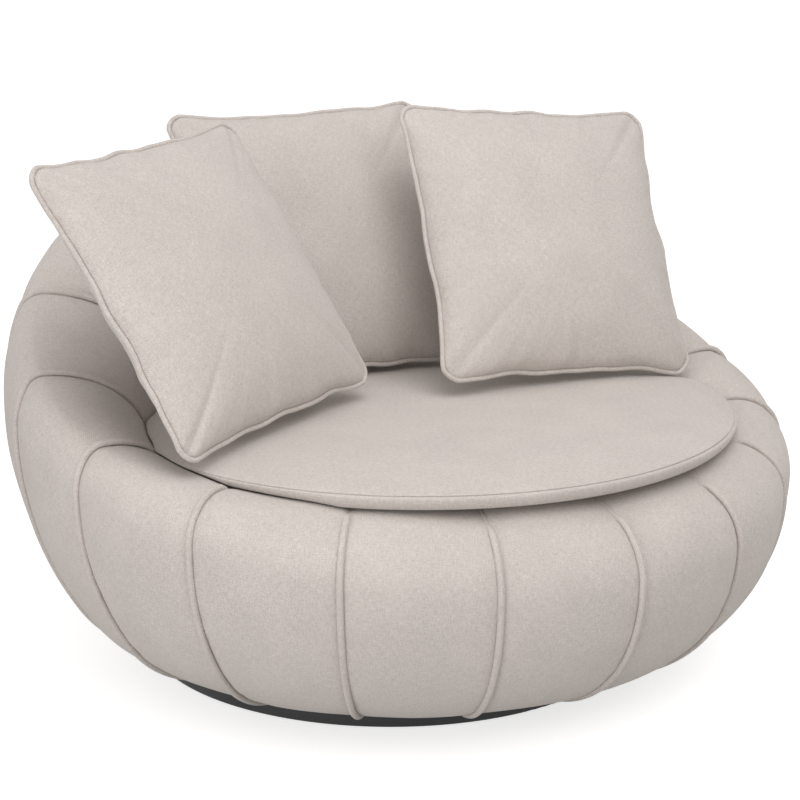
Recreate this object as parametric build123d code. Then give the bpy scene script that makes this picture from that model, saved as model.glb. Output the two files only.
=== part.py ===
from build123d import *
from math import atan2, cos, degrees, hypot, radians, sin, sqrt
import os

os.makedirs("parts", exist_ok=True)

# Upholstered body, about an upright axis a little in front of the swivel axis
gore_count = 18             # sewn panels round the body
body_radius = 573.0         # widest radius, at the seams
body_forward = 23.0         # body axis in front of the swivel axis
waist_front = 255.0         # height of the widest line
waist_side = 370.0
waist_back = 471.0
crest_front = 350.0         # height of the rolled rim
crest_side = 434.0
crest_back = 720.0
corner_rise = 7.0           # rim higher by this at the front corners of the seat
corner_azimuth = 60.0       # front corners of the seat, in degrees from the front
crest_inset_front = 119.0   # crest inside the widest line
crest_inset_side = 40.0
crest_inset_back = 106.0
roll_drop_front = 59.0      # depth of the roll's inner rounding
roll_drop_side = 110.0
roll_drop_back = 196.0
underside_height = 34.5     # body's flat underside above the floor
underside_radius = 340.0    # where the flat underside ends
panel_puff = 6.0            # swell of a panel between its seams
cover_thickness = 1.5
foam_thickness = 18.0
fit_gap = 0.3               # between soft pieces and what they wrap
frame_gap = 6.0             # batting space between the ribs and the foam
tuck_width = 45.0           # cover turned under the bottom board
welt_radius = 4.5
welt_lift = 2.6             # welt cord clear of the seam valley, also where the rim climbs
welt_toe = 12.0             # degrees of the lower curve left bare at a welt's foot
welt_gap = 5.0              # between a welt's end and the seat cushion
welt_step = 1.0             # degrees between the places tried for a welt's end

# Seat well, inside the rim
rim_front = 165.0           # thickness of the rim
rim_side = 172.0
rim_back = 310.0
well_widest = -60.0         # Y of the well's widest line
deck_height = 250.0         # top of the seat deck ring

# Seat cushion
lip_clear = 12.0            # underside of the lip above the front rim
lip_height = 20.0
lip_widest = -150.0         # Y of the lip's widest line
lip_overhang = 105.0        # lip past the well's front wall
lip_side = 27.0             # lip past the well's side walls
lip_behind = 9.0            # lip short of the well's back wall
lip_tuck_front = 8.0        # underside of the lip in from its seam
lip_tuck_side = 26.0
lip_tuck_back = 8.0
crown_height = 20.0         # middle of the seat above the lip's top seam
cushion_gap = 40.0          # cushion inside the well, under the lip
cushion_bottom_round = 30.0
cushion_skin = 1.5
cushion_rest = 0.5          # cushion above the deck cloth

# Pillows, each set by the foot of its seam
pillow_side = 428.0         # seam to seam
pillow_depth = 130.0
pillow_corner = 30.0        # corner radius of the seam
pillow_draw = 9.0           # sides drawn in between the corners
pillow_skin = 1.2
pillow_piping = 3.5         # piping radius
left_in = 128.0             # foot of the left pillow in from the well's left wall
left_forward = 103.0        # and in front of the well's widest line
left_rise = 15.5            # and above the seat's crown
left_turns = (-30.1, -15.6, 19.2)
middle_aside = -24.0        # foot of the middle pillow to the right of the swivel axis
middle_forward = 195.0      # and in front of the well's back wall
middle_rise = 7.0
middle_turns = (-28.9, 0.9, -2.2)
right_in = 182.0            # foot of the right pillow in from the well's right wall
right_forward = 100.0
right_rise = 7.0
right_turns = (-28.3, 6.2, -2.7)

# Stuffed forms: share of the outline and share of the rise at each step
swell = ((1, 0), (0.87, 0.46), (0.62, 0.85), (0.3, 1))
# Pillow outline at the same steps: share of the draw and of the corner radius
pillow_outlines = ((1, 1), (0.33, 1.4), (-0.67, 1.8), (-0.67, 1.5))

# Frame
board_thickness = 18.0
board_back = 1.0            # bottom board short of the cover's bend
rib_thickness = 18.0
rib_ledge = 60.0            # rib reaches this far inside the well wall under the deck
rib_root = 205.0            # inner end of a rib's foot
rib_foot_back = 10.0        # rib foot short of the cover's bend
rail_depth = 20.0           # rim rail, radial
rail_height = 22.0
rail_below = 34.0           # middle of the rail below the ribs' shoulders
rail_inside = 20.0          # and inside them
ring_overlap = 12.0         # deck ring under the well's padding
strap_width = 60.0
strap_thickness = 1.5
strap_count = 5
strap_pitch = 120.0
strap_inset = 25.0          # strap ends inside the well wall
cloth_thickness = 1.0
cloth_inset = 12.0
dust_thickness = 1.2
dust_gap = 2.0              # dust cover clear of the cover's hem and of the bearing

# Swivel and base
glide_height = 3.0
glide_radius = 15.0
glide_count = 8
glide_inset = 40.0
plinth_radius = 373.0
plinth_edge = 3.0           # rounded edge of the plinth
plate_thickness = 4.0
plate_inner = 100.0
plate_outer = 170.0
ball_radius = 5.0
ball_count = 24
ball_circle = 135.0
ball_clearance = 0.1
groove_depth = 2.0
cage_thickness = 2.0
cage_width = 22.0
screw_radius = 3.0
screw_head_radius = 6.0
screw_head_height = 2.5
screw_head_round = 1.0
screw_length = 14.0
screw_count = 8
screw_circle_lower = 115.0
screw_circle_upper = 155.0
hole_clearance = 0.1

# Swivel stack, worked down from the body's underside
board_bottom = underside_height + cover_thickness
upper_plate_bottom = board_bottom - plate_thickness
ball_height = upper_plate_bottom + groove_depth - ball_radius
lower_plate_top = ball_height - ball_radius + groove_depth
plinth_top = lower_plate_top - plate_thickness

# Seat, worked up from the deck and the front rim
board_top = board_bottom + board_thickness
ring_bottom = deck_height - board_thickness
strap_top = deck_height + 2 * strap_thickness
cloth_top = strap_top + cloth_thickness
cushion_bottom = cloth_top + cushion_rest
lip_bottom = crest_front + lip_clear
seam_height = lip_bottom + lip_height
seat_top = seam_height + crown_height

# Well and padding, worked inwards from the body
well_half_width = body_radius - rim_side
well_front = body_radius - rim_front + body_forward + well_widest
well_back = body_radius - rim_back - body_forward - well_widest
lip_half_width = well_half_width + lip_side
lip_front = lip_widest - well_widest + well_front + lip_overhang
lip_back = well_widest + well_back - lip_behind - lip_widest
padding_foot = deck_height + fit_gap
foam_inner = cover_thickness + foam_thickness
frame_inset = foam_inner + frame_gap
gore_angle = 360.0 / gore_count

upwards = (Align.CENTER, Align.CENTER, Align.MIN)
downwards = (Align.CENTER, Align.CENTER, Align.MAX)


def save(node, *solids):
    """Write one node as a single solid or as a group of separate solids."""
    shape = solids[0] if len(solids) == 1 else Compound(children=list(solids))
    export_step(shape, f"parts/{node}.step")


def around(count, circle, height=0.0):
    """Places spaced evenly round the swivel axis."""
    return [Rot(0, 0, 360 / count * number) * Pos(circle, 0, height) for number in range(count)]


def swing(front, side, back, azimuth):
    """Ease a size from the front through the sides to the back of the body."""
    ends = (front + back) / 2
    turn = radians(azimuth)
    return (ends + side) / 2 + (front - back) / 2 * cos(turn) + (ends - side) / 2 * cos(2 * turn)


def quarter(across, up):
    """Radii of two tangent arcs that turn a quarter, and the angle where they meet."""
    turn = atan2(across, up)
    share = 1 - sin(turn) - cos(turn)
    first = (across * (1 - sin(turn)) - up * cos(turn)) / share
    second = (up * (1 - cos(turn)) - across * sin(turn)) / share
    return first, second, degrees(turn)


def oval(width, front, back, widest):
    """Arcs of a round about its widest line: centre X, centre Y, radius, start and end angle."""
    side_f, end_f, turn_f = quarter(width, front)
    side_b, end_b, turn_b = quarter(width, back)
    return [
        (width - side_b, widest, side_b, 0, turn_b),
        (0, widest + back - end_b, end_b, turn_b, 180 - turn_b),
        (side_b - width, widest, side_b, 180 - turn_b, 180),
        (side_f - width, widest, side_f, 180, 180 + turn_f),
        (0, widest - front + end_f, end_f, 180 + turn_f, 360 - turn_f),
        (width - side_f, widest, side_f, 360 - turn_f, 360),
    ]


def arc_spot(arc, inset, angle):
    """Point of an arc at an angle, moved towards its centre by the inset."""
    x, y, radius, start, end = arc
    reach = radius - inset
    return x + reach * cos(radians(angle)), y + reach * sin(radians(angle))


def arc_edge(arc, inset):
    """Edge of one arc, moved towards its centre by the inset."""
    start, end = arc[3:]
    spots = [arc_spot(arc, inset, angle) for angle in (start, (start + end) / 2, end)]
    return Edge.make_three_point_arc(*spots)


def oval_face(arcs, inset, height):
    """Face bounded by a round, inset all round, at a height."""
    wire = Wire([arc_edge(arc, inset) for arc in arcs])
    return Pos(0, 0, height) * Face(wire)


def lip(inset, share):
    """Outline of the lip's top seam, inset, then drawn in to a share of its size."""
    width, front, back = lip_half_width - inset, lip_front - inset, lip_back - inset
    return oval(width * share, front * share, back * share, lip_widest)


def lip_underside(inset):
    """Outline of the lip's lower edge, tucked in to lie over the rim, and inset."""
    width = lip_half_width - lip_tuck_side - inset
    front = lip_front - lip_tuck_front - inset
    back = lip_back - lip_tuck_back - inset
    return oval(width, front, back, lip_widest)


well = oval(well_half_width, well_front, well_back, well_widest)
lip_seam = lip(0, 1)


def reach_to(outline, azimuth):
    """Radius of a round from the body axis along one azimuth."""
    slack = 0.01
    turn = radians(azimuth)
    east, north = sin(turn), -cos(turn)
    for x, y, radius, start, end in outline:
        dx, dy = x, y + body_forward
        along = dx * east + dy * north
        inside = along ** 2 - dx ** 2 - dy ** 2 + radius ** 2
        if inside < 0:
            continue
        reach = along + sqrt(inside)
        angle = degrees(atan2(reach * north - dy, reach * east - dx)) % 360
        if start - slack <= angle <= end + slack:
            return reach
    raise ValueError("the body axis is outside the round")


def crest_height(azimuth):
    """Height of the rim, which is raised at the front corners of the seat."""
    turn = radians(azimuth)
    corner = radians(corner_azimuth)
    rise = corner_rise * (cos(turn) - cos(3 * turn)) / (cos(corner) - cos(3 * corner))
    return swing(crest_front, crest_side, crest_back, azimuth) + rise


def roll_arcs(azimuth, puff):
    """Six arcs of the body's section, from the underside over the rim into the well."""
    wide = body_radius + puff
    waist = swing(waist_front, waist_side, waist_back, azimuth)
    top = crest_height(azimuth) + puff / 2
    crest = body_radius - swing(crest_inset_front, crest_inset_side, crest_inset_back, azimuth)
    wall = reach_to(well, azimuth) - puff / 2
    drop = swing(roll_drop_front, roll_drop_side, roll_drop_back, azimuth)
    side_low, end_low, turn_low = quarter(wide - underside_radius, waist - underside_height)
    side_up, end_up, turn_up = quarter(wide - crest, top - waist)
    side_in, end_in, turn_in = quarter(crest - wall, drop)
    return [
        (underside_radius, underside_height + end_low, end_low, -90, -turn_low),
        (wide - side_low, waist, side_low, -turn_low, 0),
        (wide - side_up, waist, side_up, 0, turn_up),
        (crest, top - end_up, end_up, turn_up, 90),
        (crest, top - end_in, end_in, 90, 180 - turn_in),
        (wall + side_in, top - drop, side_in, 180 - turn_in, 180),
    ]


def wall_top(arcs):
    """Where the roll meets the well's upright wall: radius and height."""
    x, y, radius, start, end = arcs[-1]
    return x - radius, y


def meridian(azimuth):
    """Upright plane through the body axis: X outwards, Y up."""
    turn = radians(azimuth)
    outwards = (sin(turn), -cos(turn), 0)
    sideways = (-cos(turn), -sin(turn), 0)
    return Plane((0, -body_forward, 0), x_dir=outwards, z_dir=sideways)


def line(*spots):
    """Straight edges from spot to spot."""
    return [Edge.make_line(a, b) for a, b in zip(spots, spots[1:])]


def band_face(azimuth, puff, outer, inner, tuck):
    """Section of a layer between two depths under the body's surface."""
    arcs = roll_arcs(azimuth, puff)
    wall_x, wall_y = wall_top(arcs)
    low_outer, low_inner = underside_height + outer, underside_height + inner
    edges = [arc_edge(arc, outer) for arc in arcs]
    edges += line(
        (wall_x + outer, wall_y), (wall_x + outer, padding_foot),
        (wall_x + inner, padding_foot), (wall_x + inner, wall_y),
    )
    edges += [arc_edge(arc, inner) for arc in reversed(arcs)]
    hem = [(underside_radius, low_inner), (underside_radius, low_outer)]
    if tuck:
        hem[1:1] = [(underside_radius - tuck, low_inner), (underside_radius - tuck, low_outer)]
    edges += line(*hem)
    return meridian(azimuth) * Face(Wire(edges))


def gore(number, outer, inner, tuck):
    """One gore of a layer, lofted from seam to swollen middle to seam."""
    start = number * gore_angle
    stations = [(start, 0), (start + gore_angle / 2, panel_puff), (start + gore_angle, 0)]
    return loft([band_face(azimuth, puff, outer, inner, tuck) for azimuth, puff in stations])


def make_cover():
    for number in range(gore_count):
        save(f"cover_panel_{number + 1:02d}", gore(number, 0, cover_thickness, tuck_width))


def make_foam():
    """Foam blocks, each under two neighbouring panels."""
    for block in range(gore_count // 2):
        first = gore(2 * block, cover_thickness, foam_inner, 0)
        second = gore(2 * block + 1, cover_thickness, foam_inner, 0)
        save(f"foam_block_{block + 1}", first + second)


def welt_arcs(azimuth, lift):
    """Arcs under one welt, from above the base to the well or just short of the seat cushion."""
    beside = reach_to(lip_seam, azimuth) + welt_radius + welt_gap
    below = lip_bottom - welt_radius - welt_gap

    def clear(arc, angle):
        across, up = arc_spot(arc, -lift, angle)
        return across > beside or up < below

    kept = []
    for arc in roll_arcs(azimuth, 0):
        x, y, radius, start, end = arc
        first = start if kept else start + welt_toe
        last = first
        while last < end and clear(arc, last):
            last += welt_step
        if last > first:
            kept.append((x, y, radius, first, min(last, end)))
        if last < end:
            break
    return kept


def welt(azimuth):
    """Cord in the valley of one seam."""
    slope = 4 * panel_puff / (body_radius * radians(gore_angle))
    lift = welt_radius * hypot(1, slope) + welt_lift
    path = meridian(azimuth) * Wire([arc_edge(arc, -lift) for arc in welt_arcs(azimuth, lift)])
    section = Plane(path @ 0, z_dir=path % 0) * Circle(welt_radius)
    return sweep(section, path=path)


def make_welts():
    save("welt_piping", *[welt(number * gore_angle) for number in range(gore_count)])


def rib_shoulder(azimuth):
    """Radius and height of a rib's outer top corner."""
    arc = roll_arcs(azimuth, 0)[2]
    return arc_spot(arc, frame_inset, arc[-1])


def rib(azimuth):
    """Plywood rib under one seam, on the bottom board, with a ledge for the deck."""
    arcs = roll_arcs(azimuth, 0)
    wall_x, wall_y = wall_top(arcs)
    back_x = wall_x + frame_inset
    foot_x = underside_radius - rib_foot_back
    low_y = underside_height + frame_inset
    edges = [arc_edge(arc, frame_inset) for arc in arcs[:3]]
    edges += line(
        rib_shoulder(azimuth), (back_x, wall_y), (back_x, ring_bottom), (wall_x - rib_ledge, ring_bottom),
        (rib_root, board_top), (foot_x, board_top), (foot_x, low_y), (underside_radius, low_y),
    )
    face = meridian(azimuth).offset(-rib_thickness / 2) * Face(Wire(edges))
    return extrude(face, rib_thickness, dir=meridian(azimuth).z_dir)


def rail(number):
    """Rim rail between two ribs, butted against their faces."""
    ends = []
    for side, azimuth in ((1, number * gore_angle), (-1, (number + 1) * gore_angle)):
        x, y = rib_shoulder(azimuth)
        plane = meridian(azimuth).offset(-side * rib_thickness / 2)
        bar = Pos(x - rail_inside, y - rail_below) * Rectangle(rail_depth, rail_height)
        ends.append(plane * bar)
    return loft(ends, ruled=True)


def make_frame():
    board = Pos(0, -body_forward, board_bottom) * Circle(underside_radius - board_back)
    board = extrude(board, board_thickness)
    save("frame_bottom_board", board - screw_holes(screw_circle_upper, board_bottom, upwards))
    save("frame_ribs", *[rib(number * gore_angle) for number in range(gore_count)])
    save("frame_rim_rails", *[rail(number) for number in range(gore_count)])
    outside = extrude(oval_face(well, -ring_overlap, ring_bottom), board_thickness)
    inside = extrude(oval_face(well, rib_ledge, ring_bottom), board_thickness)
    save("seat_deck_ring", outside - inside)


def straps(height, lengthwise):
    """Parallel webbing straps across the well, lying at a height."""
    sheet = extrude(oval_face(well, strap_inset, height), strap_thickness)
    reach = 2 * (well_half_width + well_front + well_back)
    middle = well_widest + (well_back - well_front) / 2
    size = (strap_width, reach) if lengthwise else (reach, strap_width)
    slab = Box(*size, strap_thickness, align=upwards)
    bands = []
    for number in range(strap_count):
        across = (number - (strap_count - 1) / 2) * strap_pitch
        place = Pos(across, middle, height) if lengthwise else Pos(0, middle + across, height)
        bands.append((sheet & (place * slab)).solid())
    return bands


def make_deck():
    save("webbing_lengthwise", *straps(deck_height, True))
    save("webbing_crosswise", *straps(deck_height + strap_thickness, False))
    save("deck_cloth", extrude(oval_face(well, cloth_inset, strap_top), cloth_thickness))
    dust_bottom = board_bottom - dust_thickness
    dust = Pos(0, -body_forward, dust_bottom) * Circle(underside_radius - tuck_width - dust_gap)
    hole = Pos(0, 0, dust_bottom) * Circle(plate_outer + dust_gap)
    save("dust_cover", extrude(dust - hole, dust_thickness))


def screw_holes(circle, height, align):
    """Holes for the shanks of a ring of screws, up or down from a height."""
    hole = Cylinder(screw_radius + hole_clearance, screw_length, align=align)
    return [place * hole for place in around(screw_count, circle, height)]


def screws(circle, seat, point_up):
    """Pan-head screws whose heads lie against a plate face at the seat height."""
    head = Cylinder(screw_head_radius, screw_head_height, align=downwards if point_up else upwards)
    rim = head.edges().group_by(Axis.Z)[0 if point_up else -1]
    head = fillet(rim, screw_head_round)
    one = head + Cylinder(screw_radius, screw_length, align=upwards if point_up else downwards)
    return [place * one for place in around(screw_count, circle, seat)]


def bearing_plate(bottom, circle):
    """Ring plate with screw holes and a ball groove."""
    plate = Circle(plate_outer) - Circle(plate_inner)
    plate -= [place * Circle(screw_radius + hole_clearance) for place in around(screw_count, circle)]
    groove = Pos(0, 0, ball_height) * Torus(ball_circle, ball_radius + ball_clearance)
    return Pos(0, 0, bottom) * extrude(plate, plate_thickness) - groove


def make_swivel():
    save("lower_bearing_plate", bearing_plate(plinth_top, screw_circle_lower))
    save("upper_bearing_plate", bearing_plate(upper_plate_bottom, screw_circle_upper))
    save("lower_plate_screws", *screws(screw_circle_lower, lower_plate_top, False))
    save("upper_plate_bolts", *screws(screw_circle_upper, upper_plate_bottom, True))
    places = around(ball_count, ball_circle, ball_height)
    save("bearing_balls", *[place * Sphere(ball_radius) for place in places])
    ring = Circle(ball_circle + cage_width / 2) - Circle(ball_circle - cage_width / 2)
    ring = Pos(0, 0, ball_height - cage_thickness / 2) * extrude(ring, cage_thickness)
    save("ball_cage", ring - [place * Sphere(ball_radius + ball_clearance) for place in places])


def make_base():
    plinth = Pos(0, 0, glide_height) * extrude(Circle(plinth_radius), plinth_top - glide_height)
    plinth = fillet(plinth.edges().filter_by(GeomType.CIRCLE), plinth_edge)
    save("base_plinth", plinth - screw_holes(screw_circle_lower, lower_plate_top, downwards))
    pad = Cylinder(glide_radius, glide_height, align=upwards)
    ring = [place * pad for place in around(glide_count, plinth_radius - glide_inset)]
    save("base_glides", pad, *ring)


def cushion_body(inset):
    """Whole cushion: a plug in the well, a lip over the rim and a crowned top."""
    plug = [
        oval_face(well, cushion_gap + cushion_bottom_round + inset, cushion_bottom + inset),
        oval_face(well, cushion_gap + inset, cushion_bottom + cushion_bottom_round),
        oval_face(well, cushion_gap + inset, lip_bottom + inset),
    ]
    edge = [
        oval_face(lip_underside(inset), 0, lip_bottom + inset),
        oval_face(lip(inset, 1), 0, seam_height),
    ]
    tops = [
        oval_face(lip(inset, share), 0, seam_height + (crown_height - inset) * rise)
        for share, rise in swell
    ]
    return loft(plug, ruled=True) + loft(edge, ruled=True) + loft(tops)


def make_cushion():
    core = cushion_body(cushion_skin)
    save("seat_cushion_core", core)
    skin = cushion_body(0) - core
    top_seam = Plane.XY.offset(seam_height)
    low_seam = Plane.XY.offset(lip_bottom)
    save("seat_cushion_top", split(skin, bisect_by=top_seam, keep=Keep.TOP))
    lower = split(skin, bisect_by=top_seam, keep=Keep.BOTTOM)
    save("seat_cushion_band", split(lower, bisect_by=low_seam, keep=Keep.TOP))
    save("seat_cushion_underside", split(lower, bisect_by=low_seam, keep=Keep.BOTTOM))


def square_face(half, draw, corner, height):
    """Square with sides drawn in by an amount, rounded corners, lying at a height."""
    spots = [(half, half), (-half, half), (-half, -half), (half, -half)]
    edges = []
    for a, b in zip(spots, spots[1:] + spots[:1]):
        middle = Vector((a[0] + b[0]) / 2, (a[1] + b[1]) / 2)
        middle = middle * ((half - draw) / half)
        edges.append(Edge.make_three_point_arc(a, middle, b))
    face = Face(Wire(edges))
    return Pos(0, 0, height) * fillet(face.vertices(), corner)


def pillow_half(inset, side):
    """Half of a knife-edge pillow, from the seam to its crown."""
    half = pillow_side / 2 - inset
    depth = pillow_depth / 2 - inset
    levels = [
        square_face(half * share, pillow_draw * draw, pillow_corner * corner, side * depth * rise)
        for (share, rise), (draw, corner) in zip(swell, pillow_outlines)
    ]
    return loft(levels)


def make_pillow(name, foot, turns):
    """Pillow with its front towards -Y, stood on its foot and turned."""
    stand = Location(foot, turns) * Pos(0, 0, pillow_side / 2) * Rot(90, 0, 0)
    inner = [pillow_half(pillow_skin, side) for side in (1, -1)]
    save(f"{name}_insert", stand * (inner[0] + inner[1]))
    for word, side, filling in (("front", 1, inner[0]), ("back", -1, inner[1])):
        save(f"{name}_{word}", stand * (pillow_half(0, side) - filling))
    reach = pillow_piping + fit_gap
    seam = square_face(pillow_side / 2 + reach, pillow_draw, pillow_corner + reach, 0)
    loop = seam.face().outer_wire()
    section = Plane(loop @ 0, z_dir=loop % 0) * Circle(pillow_piping)
    save(f"{name}_piping", stand * sweep(section, path=loop))


def make_pillows():
    left = (left_in - well_half_width, well_widest - left_forward, seat_top + left_rise)
    middle = (middle_aside, well_widest + well_back - middle_forward, seat_top + middle_rise)
    right = (well_half_width - right_in, well_widest - right_forward, seat_top + right_rise)
    make_pillow("pillow_left", left, left_turns)
    make_pillow("pillow_middle", middle, middle_turns)
    make_pillow("pillow_right", right, right_turns)


make_base()
make_swivel()
make_frame()
make_deck()
make_foam()
make_cover()
make_welts()
make_cushion()
make_pillows()
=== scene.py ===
from math import atan2, cos, degrees, hypot, pi, radians, sin, sqrt, tau

import bmesh
import bpy
import numpy as np
from mathutils import Matrix, Vector, noise
from mathutils.kdtree import KDTree


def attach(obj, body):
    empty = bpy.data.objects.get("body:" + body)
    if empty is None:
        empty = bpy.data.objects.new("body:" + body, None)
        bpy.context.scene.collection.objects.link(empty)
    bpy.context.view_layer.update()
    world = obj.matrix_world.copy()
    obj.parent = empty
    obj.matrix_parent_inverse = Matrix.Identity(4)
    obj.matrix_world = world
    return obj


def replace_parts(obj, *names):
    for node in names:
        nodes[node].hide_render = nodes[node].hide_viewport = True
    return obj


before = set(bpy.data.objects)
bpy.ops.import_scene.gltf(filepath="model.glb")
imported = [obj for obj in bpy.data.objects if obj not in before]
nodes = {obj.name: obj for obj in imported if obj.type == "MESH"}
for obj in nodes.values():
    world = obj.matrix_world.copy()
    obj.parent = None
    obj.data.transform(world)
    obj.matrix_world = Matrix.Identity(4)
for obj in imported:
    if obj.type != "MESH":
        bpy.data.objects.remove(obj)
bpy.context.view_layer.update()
scene = bpy.context.scene

# Upholstered body, the same driving sizes as its solids, in metres and degrees
gore_count = 18
body_radius = 0.573
body_forward = 0.023
waist = (0.255, 0.370, 0.471)           # front, side and back
crest = (0.350, 0.434, 0.720)
corner_rise = 0.007
corner_azimuth = 60.0
crest_inset = (0.119, 0.040, 0.106)
roll_drop = (0.059, 0.110, 0.196)
underside_height = 0.0345
underside_radius = 0.340
panel_puff = 0.006
cover_thickness = 0.0015
foam_depth = 0.005                      # foam under the cover's face
foam_thickness = 0.013
tuck_width = 0.045
rim = (0.165, 0.172, 0.310)
well_widest = -0.060
deck_height = 0.250
fit_gap = 0.0003

# Panels between the welts
edge_power = 2.4                        # higher is flatter in the middle
seam_dip = 0.0016                       # cloth drawn down at a seam
seam_soft = 0.008                       # width of that dip
pucker_height = 0.0008                  # gathers along a seam
pucker_reach = 0.022
pucker_length = 0.028
uneven_height = 0.0012                  # stuffing that isn't quite even
uneven_length = 0.11
gore_columns = 29
arc_steps = (22, 26, 16, 14, 14, 14)    # rows on each arc of the section
hem_steps = 4
wall_steps = 10

# Welts and piping
welt_radius = 0.0045
welt_lift = 0.0016                      # cord's middle above the seam
welt_toe = 12.0                         # degrees of the lowest arc left bare
welt_rows = 3                           # rows of a cord to one row of a panel
welt_sink = 0.0045                      # cord pressed in at the seat cushion
sink_run = 0.016                        # length over which it sinks
tube_sides = 14
cap_steps = 4

# Seat cushion
lip_clear = 0.012
lip_height = 0.020
lip_widest = -0.150
lip_overhang = 0.105
lip_side = 0.027
lip_behind = 0.009
lip_tuck = 0.008                        # band narrower at its foot
crown_height = 0.020
crown_start = 0.6                       # share of the crown before it is stuffed
crown_power = 4.0                       # higher is flatter in the middle
cushion_gap = 0.040
cushion_bottom_round = 0.030
cushion_bottom = 0.2545
seat_cells = 104                        # cloth squares across the seat
seat_cap = 0.007                        # most that stuffing moves the cloth
seat_slack = 0.004
seam_groove = 0.0034                    # depth of the seam between top and band
seam_width = 0.0014
band_bulge = 0.0065
band_least = 0.003                      # height of the band where the rim is highest
band_rows = 10
band_start = 65.0                       # angle of the band's rounding at its seam
side_rows = 4
seat_spread = 0.032                     # edge let out along the sides, up to the rim
spread_from = 40.0                      # between these azimuths
spread_to = 170.0
rim_clear = 0.0016                      # cushion clear of the rim

# Pillows
pillow_side = 0.428
pillow_depth = 0.130
pillow_corner = 0.030
pillow_draw = 0.009
pillow_piping = 0.0035
piping_out = 0.1                        # share of that radius by which the cord's middle is outside the seam
pillow_cells = 84
pillow_start = 0.84                     # share of the depth before it is stuffed
pillow_power = 2.8
pillow_steep = 0.5                      # lower rises steeper from the seam
pillow_cap = 0.020
pillow_slack = 0.004
seam_wave = 0.0026                      # wander of a pillow's seam
seam_wave_length = 0.052
seam_wave_fade = 9
gather_height = 0.0022                  # gathers along a pillow's seam
gather_length = 0.020
gather_reach = 0.026
pillow_places = {
    "pillow_left": ((-0.273, -0.163, 0.4175), (-30.1, -15.6, 19.2)),
    "pillow_middle": ((-0.024, 0.045, 0.409), (-28.9, 0.9, -2.2)),
    "pillow_right": ((0.219, -0.160, 0.412), (-28.3, 6.2, -2.7)),
}

# Cloth
simulated_frames = 20
fold_easing = 40                        # rounds that even out small folds
cloth_pressure = 4.0

# Deck
strap_width = 0.060
strap_thickness = 0.0015
strap_count = 5
strap_pitch = 0.120
strap_inset = 0.025
strap_rows = 13
strap_columns = 60
cloth_inset = 0.012
cloth_thickness = 0.0008
deck_cells = 56
deck_dip = 0.0006                       # cloth between the straps
dust_outer = 0.293
dust_inner = 0.172
dust_height = 0.0354
dust_sag = 0.0012

# Camera, as the photograph's
image_side = 800
camera_azimuth = -32.526
camera_elevation = 15.775
camera_distance = 2.957
camera_target = Vector((0.0, 0.0, 0.30))
focal_pixels = 1951.4
centre_pixel = (390.47, 445.66)
sensor_width = 36.0

# Stage
floor_half = 80.0
floor_shade = 0.68
floor_glow = 0.70                       # added where the floor is seen, up to white
world_light = 0.56
world_tint = (1.0, 0.97, 0.94)          # ambient light, a little warm

lamps = {                               # place, power and width
    "key": ((-0.3, -2.3, 3.0), 40.0, 2.4),
    "side": ((-3.0, -1.3, 0.7), 26.0, 1.4),
    "top": ((0.0, -0.6, 3.2), 22.0, 2.2),
}

WEAVE = "weave"
tiny = 1e-9                             # keeps a division from being by nothing
least_share = 1e-6
weld_distance = 1e-6
gore_angle = 360.0 / gore_count
lip_bottom = crest[0] + lip_clear
seam_height = lip_bottom + lip_height
well_half_width = body_radius - rim[1]
well_front = body_radius - rim[0] + body_forward + well_widest
well_back = body_radius - rim[2] - body_forward - well_widest
lip_half_width = well_half_width + lip_side
lip_front = lip_widest - well_widest + well_front + lip_overhang
lip_back = well_widest + well_back - lip_behind - lip_widest
strap_top = deck_height + 2 * strap_thickness


# Mesh building

def make_piece(name, patches, material, body):
    """One piece from grids of points, each with its cloth coordinates, joined where they meet."""
    points, faces, weave = [], [], []
    first = 0
    for grid, cloth in patches:
        rows, columns = grid.shape[:2]
        index = np.arange(rows * columns).reshape(rows, columns) + first
        quads = np.stack([index[:-1, :-1], index[:-1, 1:], index[1:, 1:], index[1:, :-1]], -1)
        faces.append(quads.reshape(-1, 4))
        points.append(grid.reshape(-1, 3))
        weave.append(cloth.reshape(-1, 2))
        first += rows * columns
    points, faces, weave = np.concatenate(points), np.concatenate(faces), np.concatenate(weave)
    mesh = bpy.data.meshes.new(name)
    mesh.from_pydata(points.tolist(), [], faces.tolist())
    layer = mesh.uv_layers.new(name=WEAVE)
    layer.uv.foreach_set("vector", weave[faces.ravel()].astype(np.float32).ravel())
    join_doubles(mesh)
    mesh.materials.append(material)
    piece = bpy.data.objects.new(name, mesh)
    scene.collection.objects.link(piece)
    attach(piece, body)
    return piece


def join_doubles(mesh):
    work = bmesh.new()
    work.from_mesh(mesh)
    bmesh.ops.remove_doubles(work, verts=work.verts, dist=weld_distance)
    for face in work.faces:
        face.smooth = True
    work.to_mesh(mesh)
    work.free()


def positions(mesh):
    flat = np.empty(len(mesh.vertices) * 3, np.float32)
    mesh.vertices.foreach_get("co", flat)
    return flat.reshape(-1, 3).astype(float)


def set_positions(mesh, points):
    mesh.vertices.foreach_set("co", points.astype(np.float32).ravel())
    mesh.update()


def thicken(piece, thickness):
    solid = piece.modifiers.new("thickness", "SOLIDIFY")
    solid.thickness = thickness
    solid.offset = -1.0
    return piece


def soften(piece):
    smooth = piece.modifiers.new("soft", "SUBSURF")
    smooth.levels = 1
    smooth.render_levels = 1
    return piece


def wave(points, length, seed):
    """Smooth noise, about -0.5 to 0.5, at each point."""
    shift = Vector((seed * 7.31, seed * 3.77, seed * 5.13))
    return np.array([noise.noise(Vector(p) / length + shift) for p in points])


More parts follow.
